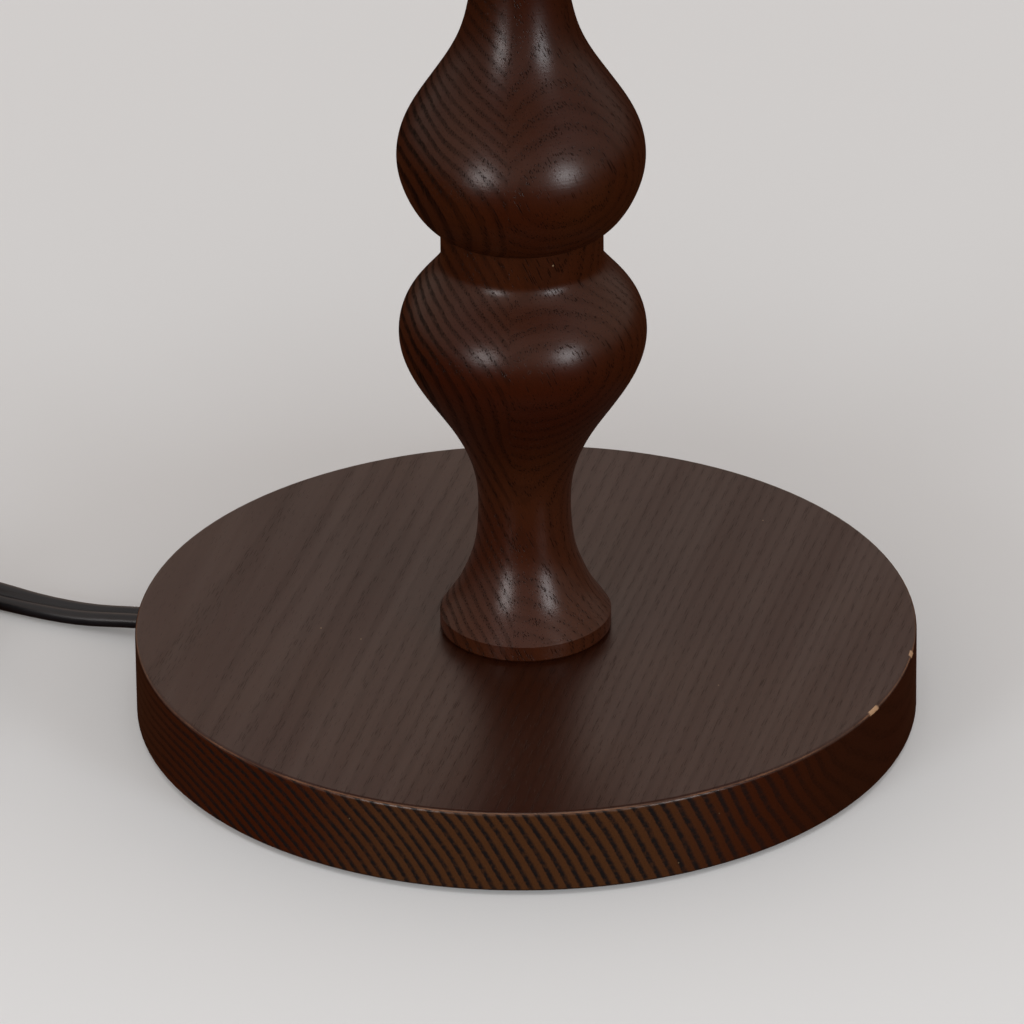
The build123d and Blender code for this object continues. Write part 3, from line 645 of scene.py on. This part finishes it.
def cord_vinyl():
    """Glossy black vinyl, a little bluish, with a haze and a fine grain."""
    tree = Tree("cord_vinyl")
    place = tree.place_mm()
    haze = tree.noise(place, 0.09, 3.0, 0.6)
    grit = tree.noise(place, 2.6, 3.0, 0.6)
    colour = tree.mix(haze, (0.008, 0.009, 0.012), (0.014, 0.015, 0.018))
    roughness = tree.step(haze, 0.3, 0.7, 0.24, 0.38)
    return tree.finish(colour, roughness, tree.bump(grit, 0.00003, 0.35), Specular_IOR_Level=0.5)


# ---------------------------------------------------------------- metals, plastics and fabric
def worked_metal(name, colour, aged, smooth=0.22, rough=0.42, rings=0.0, metallic=1.0):
    """Metal with faint turning rings, handling marks and duller patches."""
    tree = Tree(name)
    place = tree.place_mm()
    patch = tree.noise(place, 0.11, 4.0, 0.65)
    scratch = tree.noise(tree.vector("MULTIPLY", place, (1.0, 1.0, 9.0)), 1.4, 3.0, 0.6)
    worn = tree.plus(patch, tree.times(tree.minus(scratch, 0.5), 0.3))
    tint = tree.mix(tree.step(worn, 0.42, 0.72), colour, aged)
    roughness = tree.step(worn, 0.3, 0.75, smooth, rough)
    height = scratch
    if rings:
        level = tree.joined(0.0, 0.0, tree.parts_of(place)[2])
        height = tree.times_plus(tree.noise(level, 5.0, 2.0, 0.5), rings, scratch)
    return tree.finish(tint, roughness, tree.bump(height, 0.00002, 0.5), Metallic=metallic)


def moulded(name, colour, pale, smooth, rough, grain=2.2, depth=0.00003, **constants):
    """Plastic, rubber, card or paint: one colour with a soft mottle and a moulded grain."""
    tree = Tree(name)
    place = tree.place_mm()
    mottle = tree.noise(place, 0.14, 3.0, 0.6)
    skin = tree.noise(place, grain, 3.0, 0.6)
    tint = tree.mix(tree.step(mottle, 0.3, 0.7), colour, pale)
    wear = tree.plus(mottle, tree.times(skin, 0.4))
    roughness = tree.step(wear, 0.4, 0.95, smooth, rough)
    return tree.finish(tint, roughness, tree.bump(skin, depth, 0.5), **constants)


def felt_cloth():
    """Pressed wool: short crossed hairs and a few pale fibres."""
    tree = Tree("felt_cloth")
    place = tree.place_mm()
    hairs = tree.noise(tree.vector("MULTIPLY", place, (1.0, 3.0, 1.0)), 2.0, 4.0, 0.7)
    crossed = tree.noise(tree.vector("MULTIPLY", place, (3.0, 1.0, 1.0)), 2.2, 4.0, 0.7)
    nap = tree.math("MAXIMUM", hairs, crossed)
    tint = tree.mix(tree.step(nap, 0.45, 0.8), (0.014, 0.016, 0.015), (0.055, 0.058, 0.055))
    return tree.finish(tint, 0.95, tree.bump(nap, 0.0003, 0.8), Sheen_Weight=0.3, Specular_IOR_Level=0.1)


def linen_cloth(name, tint, dark, pitch=0.56):
    """Plain-woven linen: crossed threads of uneven thickness with slubs, laid out on the flat cut, with
    painted shade between the threads.
    """
    tree = Tree(name)
    cut = tree.vector("MULTIPLY", tree.node("UVMap", uv_map="cut").outputs["UV"], (1000.0, 1000.0, 1.0))
    u, v, _ = tree.parts_of(cut)
    sway = tree.times(tree.minus(tree.noise(cut, 0.25, 2.0, 0.5), 0.5), 1.1)
    u = tree.plus(u, sway)
    v = tree.minus(v, sway)
    warp = tree.math("ABSOLUTE", tree.math("SINE", tree.times(u, math.pi / pitch)))
    weft = tree.math("ABSOLUTE", tree.math("SINE", tree.times(v, math.pi / pitch)))
    column = tree.math("MODULO", tree.math("FLOOR", tree.math("DIVIDE", u, pitch)), 2.0)
    row = tree.math("MODULO", tree.math("FLOOR", tree.math("DIVIDE", v, pitch)), 2.0)
    odd_column = tree.math("ABSOLUTE", column)
    odd_row = tree.math("ABSOLUTE", row)
    over = tree.math("ABSOLUTE", tree.minus(odd_column, odd_row))
    warp_high = tree.times(warp, tree.times_plus(over, 0.55, 0.45))
    weft_high = tree.times(weft, tree.times_plus(over, -0.55, 1.0))
    thread = tree.math("MAXIMUM", warp_high, weft_high)
    warp_place = tree.joined(tree.times(u, 1.5), tree.times(v, 0.05), 0.0)
    weft_place = tree.joined(tree.times(u, 0.04), tree.times(v, 1.4), 7.0)
    warp_slub = tree.noise(warp_place, 1.0, 2.0)
    weft_slub = tree.noise(weft_place, 1.0, 2.0)
    slub = tree.plus(tree.step(warp_slub, 0.58, 0.75), tree.step(weft_slub, 0.56, 0.74))
    thin = tree.plus(tree.step(warp_slub, 0.42, 0.26), tree.step(weft_slub, 0.43, 0.27))
    # thread crowns lighter and the gaps and under-threads darker is painted shade of the weave; lighter
    # slubs and darker thin threads are the cloth's own tone
    shade = tree.times_plus(slub, 0.30, tree.times(thread, 0.55))
    shade = tree.minus(shade, tree.times(thin, 0.34))
    colour = tree.mix(tree.step(shade, -0.2, 0.75), dark, tint)
    height = tree.times_plus(slub, 0.6, thread)
    return tree.finish(colour, 0.88, tree.bump(height, 0.00012, 0.7), Sheen_Weight=0.25,
                       Specular_IOR_Level=0.2)


brass = worked_metal("brass_satin", (0.60, 0.40, 0.16), (0.36, 0.22, 0.085), rings=0.8)
zinc = worked_metal("zinc_plate", (0.60, 0.60, 0.58), (0.38, 0.38, 0.37), smooth=0.3, rough=0.5)
vinyl = cord_vinyl()
aluminium = worked_metal("bulb_aluminium", (0.78, 0.78, 0.79), (0.55, 0.55, 0.56), smooth=0.18, rough=0.34)
cast_iron = moulded("cast_weight", (0.05, 0.05, 0.052), (0.10, 0.10, 0.10), 0.55, 0.8, depth=0.0002)
card = moulded("card_sleeve", (0.36, 0.29, 0.19), (0.45, 0.37, 0.26), 0.8, 0.95, grain=1.4)
phenolic = moulded("phenolic", (0.012, 0.011, 0.010), (0.022, 0.019, 0.017), 0.35, 0.55)
knob_plastic = moulded("knob_plastic", (0.011, 0.010, 0.010), (0.02, 0.019, 0.018), 0.16, 0.3)
rubber = moulded("bushing_rubber", (0.014, 0.014, 0.014), (0.026, 0.026, 0.026), 0.6, 0.85, depth=0.00006)
frosted = moulded("frosted_glass", (0.80, 0.80, 0.77), (0.88, 0.88, 0.86), 0.22, 0.34, grain=3.5,
                  depth=0.00001, Coat_Weight=0.5, Coat_Roughness=0.15)
styrene = moulded("liner_styrene", (0.72, 0.71, 0.67), (0.80, 0.79, 0.76), 0.45, 0.6, grain=0.8)
enamel = moulded("white_enamel", (0.66, 0.65, 0.61), (0.74, 0.73, 0.70), 0.3, 0.45)
plug_vinyl = moulded("plug_vinyl", (0.010, 0.010, 0.011), (0.019, 0.019, 0.021), 0.3, 0.5, depth=0.00005)
tie_plastic = moulded("tie_plastic", (0.013, 0.013, 0.014), (0.03, 0.03, 0.031), 0.4, 0.6)
PAINTED = {
    brass: ["vase_cap", "harp_saddle", "harp", "harp_sleeve_left", "harp_sleeve_right", "finial",
            "socket_cap", "socket_set_screw", "socket_shell", "screw_shell", "centre_contact",
            "terminal_screws", "switch_bushing", "switch_shaft", "plug_blades"],
    zinc: ["weight_screws", "base_washer", "base_nut", "threaded_pipe"],
    vinyl: ["cord_inner", "socket_leads"],
    aluminium: ["bulb_base"],
    cast_iron: ["weight_plate"],
    felt_cloth(): ["base_felt"],
    card: ["socket_sleeve"],
    phenolic: ["socket_core", "bulb_contact"],
    knob_plastic: ["switch_knob"],
    rubber: ["cord_bushing"],
    frosted: ["bulb_glass"],
    styrene: ["shade_liner"],
    enamel: ["shade_spider", "shade_ring_bottom", "shade_ring_top"],
}
for material, names in PAINTED.items():
    for name in names:
        paint(nodes[name], material)
paint(mains_cord, vinyl)
paint(moulded_plug, plug_vinyl)
for piece in ties + twists:
    paint(piece, tie_plastic)

# ---------------------------------------------------------------- shade
shade_low, shade_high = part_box("shade_liner")
SHADE_BOTTOM_R = shade_high.x
SHADE_HEIGHT = shade_high.z - shade_low.z
liner = nodes["shade_liner"]
liner_places = [liner.matrix_world @ vertex.co for vertex in liner.data.vertices]
SHADE_TOP_R = max(math.hypot(p.x, p.y) for p in liner_places if p.z > shade_high.z - 0.5 * MM)
SEAM_ANGLE = math.pi / 2                 # at the back, over the cord
SEAM_OVERLAP = 10 * MM
CLOTH_THICK = 0.5 * MM
SLANT = math.hypot(SHADE_HEIGHT, SHADE_BOTTOM_R - SHADE_TOP_R)
APEX_REACH = SLANT * SHADE_BOTTOM_R / (SHADE_BOTTOM_R - SHADE_TOP_R)
CUT_SHARE = SHADE_BOTTOM_R / APEX_REACH  # a turn of the cone is this share of a turn of the flat cut


def liner_r(z):
    share = (z - shade_low.z) / SHADE_HEIGHT
    return SHADE_BOTTOM_R + share * (SHADE_TOP_R - SHADE_BOTTOM_R)


def thicken(piece, thickness):
    solid = piece.modifiers.new("thickness", "SOLIDIFY")
    solid.thickness = thickness
    solid.offset = 0.0
    return solid


def write_cut(piece, places):
    """Each point's place on the flat cut, in metres, as the UV map that the weave follows."""
    layer = piece.data.uv_layers.new(name="cut")
    for loop in piece.data.loops:
        layer.data[loop.index].uv = places[loop.vertex_index]


def add_linen():
    """The shade's cloth, wrapped round the liner with a lapped seam at the back."""
    columns = 420
    rows = 48
    lap = SEAM_OVERLAP / SHADE_BOTTOM_R
    points = []
    cut = []
    for row in range(rows):
        share = row / (rows - 1)
        z = shade_low.z + 0.2 * MM + share * (SHADE_HEIGHT - 0.4 * MM)
        reach = APEX_REACH - share * SLANT
        for column in range(columns):
            turned = (2 * math.pi + lap) * column / (columns - 1)
            lapped = smooth_step(2 * math.pi - 0.012, 2 * math.pi + 0.006, turned)
            radius = liner_r(z) + 0.36 * MM + lapped * 0.56 * MM
            radius += 0.03 * MM * math.sin(9 * turned + 4 * share) * math.sin(3.1 * share)
            angle = SEAM_ANGLE + turned
            points.append((radius * math.cos(angle), radius * math.sin(angle), z))
            flat = (turned - math.pi) * CUT_SHARE
            cut.append((reach * math.sin(flat), reach * math.cos(flat)))
    piece = mesh_piece("linen_shade", points, grid_faces(rows, columns))
    write_cut(piece, cut)
    thicken(piece, CLOTH_THICK)
    return piece


def add_tape(name, edge_z, inward):
    """Folded linen tape round a shade's edge. inward is +1 at the bottom edge and -1 at the top."""
    columns = 360
    profile = [(1.05, 8.0), (1.22, 7.3), (1.24, 5.0), (1.22, 2.4), (1.16, 0.7), (0.85, -0.15), (0.2, -0.45),
               (-0.6, -0.4), (-1.1, 0.1), (-1.2, 0.7)]
    points = []
    cut = []
    for row, (out, rise) in enumerate(profile):
        for column in range(columns):
            angle = 2 * math.pi * column / columns
            edge_sway = 0.14 * math.sin(7 * angle + 1.3) + 0.09 * math.sin(17 * angle)
            lift = rise + (edge_sway if row < 2 else 0.0)
            z = edge_z + inward * lift * MM
            radius = liner_r(z) + (out + 0.03 * math.sin(31 * angle + row)) * MM
            points.append((radius * math.cos(angle), radius * math.sin(angle), z))
            cut.append((angle * SHADE_BOTTOM_R, row * 1.3 * MM))
    piece = mesh_piece(name, points, grid_faces(len(profile), columns, wrap_columns=True))
    write_cut(piece, cut)
    thicken(piece, 0.42 * MM)
    return piece


linen = linen_cloth("linen_cloth", (0.80, 0.74, 0.62), (0.56, 0.49, 0.37))
tape_cloth = linen_cloth("tape_cloth", (0.78, 0.72, 0.60), (0.52, 0.45, 0.34))
linen_shade = add_linen()
tape_bottom = add_tape("tape_bottom", shade_low.z, 1)
tape_top = add_tape("tape_top", shade_high.z, -1)
paint(linen_shade, linen)
for piece in (tape_bottom, tape_top):
    paint(piece, tape_cloth)
    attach(piece, "shade")
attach(linen_shade, "shade")
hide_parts("shade_fabric")
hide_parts("shade_trim_bottom")
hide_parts("shade_trim_top")

# ---------------------------------------------------------------- floor, light and world
def add_floor():
    size = 6.0
    low = -0.2 * MM                       # just clear of the felt
    corners = [(-size, -size, low), (size, -size, low), (size, size, low), (-size, size, low)]
    floor = mesh_piece("floor", corners, [(0, 1, 2, 3)])
    material = bpy.data.materials.new("floor_paper")
    material.use_nodes = True
    shader = material.node_tree.nodes["Principled BSDF"]
    shader.inputs["Base Color"].default_value = (0.65, 0.70, 0.735, 1)
    shader.inputs["Emission Color"].default_value = (1.0, 0.99, 0.97, 1)
    shader.inputs["Emission Strength"].default_value = 0.12
    shader.inputs["Roughness"].default_value = 0.95
    shader.inputs["Specular IOR Level"].default_value = 0.1
    floor.data.materials.append(material)
    floor.visible_glossy = False
    floor.visible_diffuse = False


def add_soft_light(name, azimuth, elevation, distance, size, power, colour):
    data = bpy.data.lights.new(name, "AREA")
    data.shape = "DISK"
    data.size = size
    data.energy = power
    data.color = colour
    light = bpy.data.objects.new(name, data)
    scene.collection.objects.link(light)
    back = back_vector(azimuth, elevation)
    light.location = Vector((0, 0, 0.12)) + distance * back
    light.rotation_euler = back.to_track_quat("Z", "Y").to_euler()


def add_world():
    """Pale room above the horizon and a dark warm one below it, which only reflections see."""
    world = bpy.data.worlds.new("room")
    world.use_nodes = True
    tree = world.node_tree
    tree.nodes.clear()
    place = tree.nodes.new("ShaderNodeTexCoord")
    split = tree.nodes.new("ShaderNodeSeparateXYZ")
    ramp = tree.nodes.new("ShaderNodeValToRGB")
    spread = tree.nodes.new("ShaderNodeMapRange")
    background = tree.nodes.new("ShaderNodeBackground")
    output = tree.nodes.new("ShaderNodeOutputWorld")
    spread.inputs["From Min"].default_value = -1.0
    tree.links.new(place.outputs["Generated"], split.inputs[0])
    tree.links.new(split.outputs["Z"], spread.inputs["Value"])
    tree.links.new(spread.outputs["Result"], ramp.inputs["Fac"])
    tree.links.new(ramp.outputs["Color"], background.inputs["Color"])
    tree.links.new(background.outputs["Background"], output.inputs["Surface"])
    stops = [
        (0.0, (0.03, 0.010, 0.004, 1)),
        (0.40, (0.05, 0.019, 0.009, 1)),
        (0.495, (0.12, 0.075, 0.055, 1)),
        (0.53, (0.42, 0.35, 0.30, 1)),
        (0.68, (0.60, 0.46, 0.385, 1)),
        (0.80, (0.66, 0.53, 0.47, 1)),
        (1.0, (0.50, 0.49, 0.48, 1)),
    ]
    elements = ramp.color_ramp.elements
    while len(elements) < len(stops):
        elements.new(0.5)
    for element, (position, colour) in zip(elements, stops):
        element.position = position
        element.color = colour
    background.inputs["Strength"].default_value = 1.0
    scene.world = world


add_floor()
add_world()
add_soft_light("window_left", CAMERA_AZIMUTH - 36, 12, 1.6, 0.5, 6.0, (1.0, 0.98, 0.98))
add_soft_light("window_right", CAMERA_AZIMUTH + 41, 12, 1.6, 0.5, 6.5, (0.95, 0.97, 1.0))
add_soft_light("ceiling", CAMERA_AZIMUTH, 72, 2.2, 1.6, 12.0, (1.0, 0.98, 0.95))
scene.view_settings.view_transform = "Standard"
